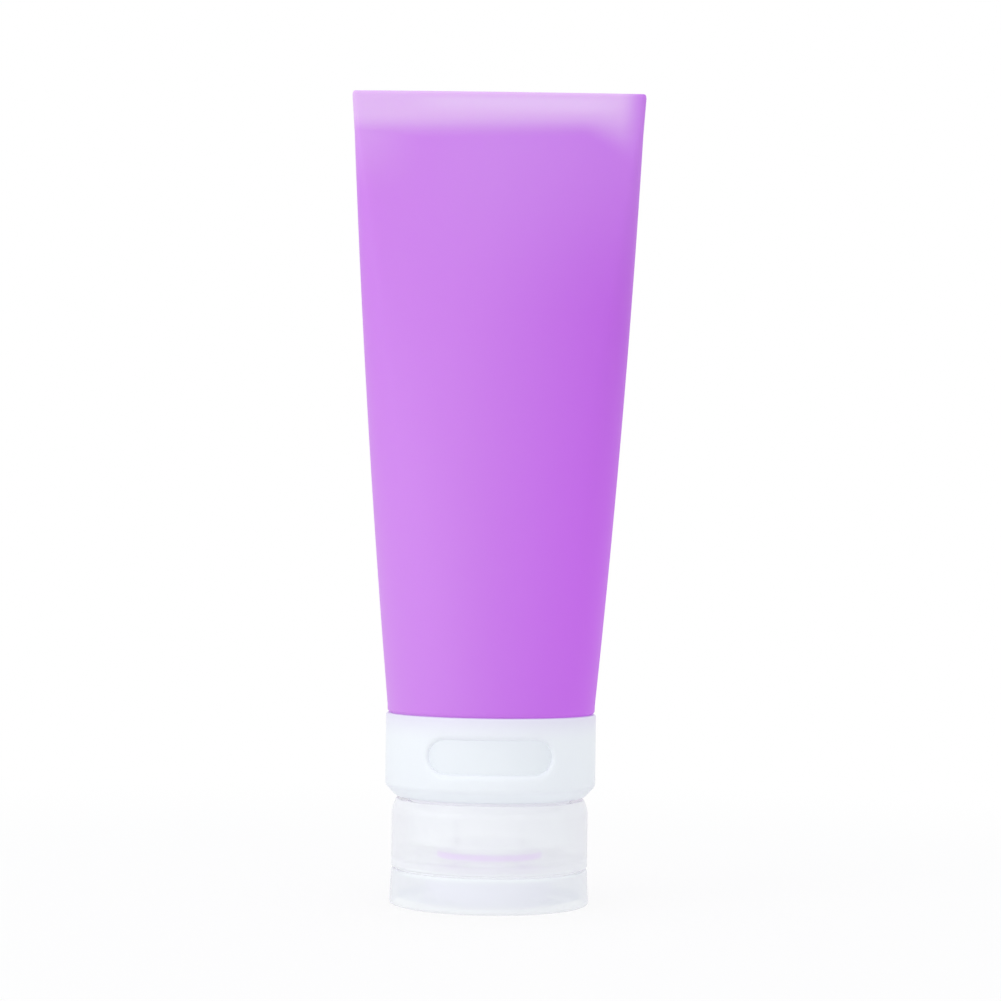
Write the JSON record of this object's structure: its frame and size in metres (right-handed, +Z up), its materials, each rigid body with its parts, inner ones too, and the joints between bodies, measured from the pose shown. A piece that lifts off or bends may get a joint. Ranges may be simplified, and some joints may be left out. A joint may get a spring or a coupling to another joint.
{
  "type": "travel silicone squeeze bottle",
  "caption": "Soft wedge-shaped squeeze tube with a flat sealed end, standing on a screw-on flip-top cap with a hinged lid, slit valve, window collar and turning contents ring.",
  "frame": {"origin": "centre of the flip lid's standing face, on the surface that the bottle stands on", "axes": "+Z up from the cap to the sealed end of the tube, -Y towards the collar's window, +Y towards the lid's hinge, X along the sealed end"},
  "size_m": [0.0566, 0.04, 0.155],
  "materials": {
    "silicone_tube": "matte translucent lilac silicone",
    "silicone_valve": "matte lilac silicone",
    "silicone_seal": "matte clear silicone",
    "frosted_plastic": "satin frosted polypropylene",
    "clear_plastic": "satin translucent polypropylene"
  },
  "bodies": {
    "bottle": {"squeeze_tube": "silicone_tube", "neck_insert": "frosted_plastic", "collar": "frosted_plastic"},
    "indicator": {"contents_ring": "frosted_plastic"},
    "gasket": {"neck_gasket": "silicone_seal"},
    "cap": {"cap_base": "frosted_plastic", "valve_disc": "silicone_valve", "valve_retainer": "frosted_plastic", "living_hinge": "clear_plastic"},
    "lid": {"flip_lid": "clear_plastic"}
  },
  "joints": [
    {"name": "ring_turn", "type": "hinge", "parent": "bottle", "child": "indicator", "pos_m": [0, 0, 0.0299], "axis": [0, 0, 1], "continuous": true},
    {"name": "cap_draw", "type": "slide", "parent": "bottle", "child": "gasket", "axis": [0, 0, -1], "range_m": [0, 0.00901]},
    {"name": "cap_turn", "type": "hinge", "parent": "gasket", "child": "cap", "pos_m": [0, 0, 0.0194], "axis": [0, 0, -1], "range_deg": [0, 1080]},
    {"name": "lid_flip", "type": "hinge", "parent": "cap", "child": "lid", "pos_m": [0, 0.01825, 0.00685], "axis": [1, 0, 0], "range_deg": [0, 150], "deforming": ["living_hinge"]}
  ],
  "couplings": [
    {"joint": "cap_draw", "follows": "cap_turn", "m_per_rad": 0.00047746}
  ]
}
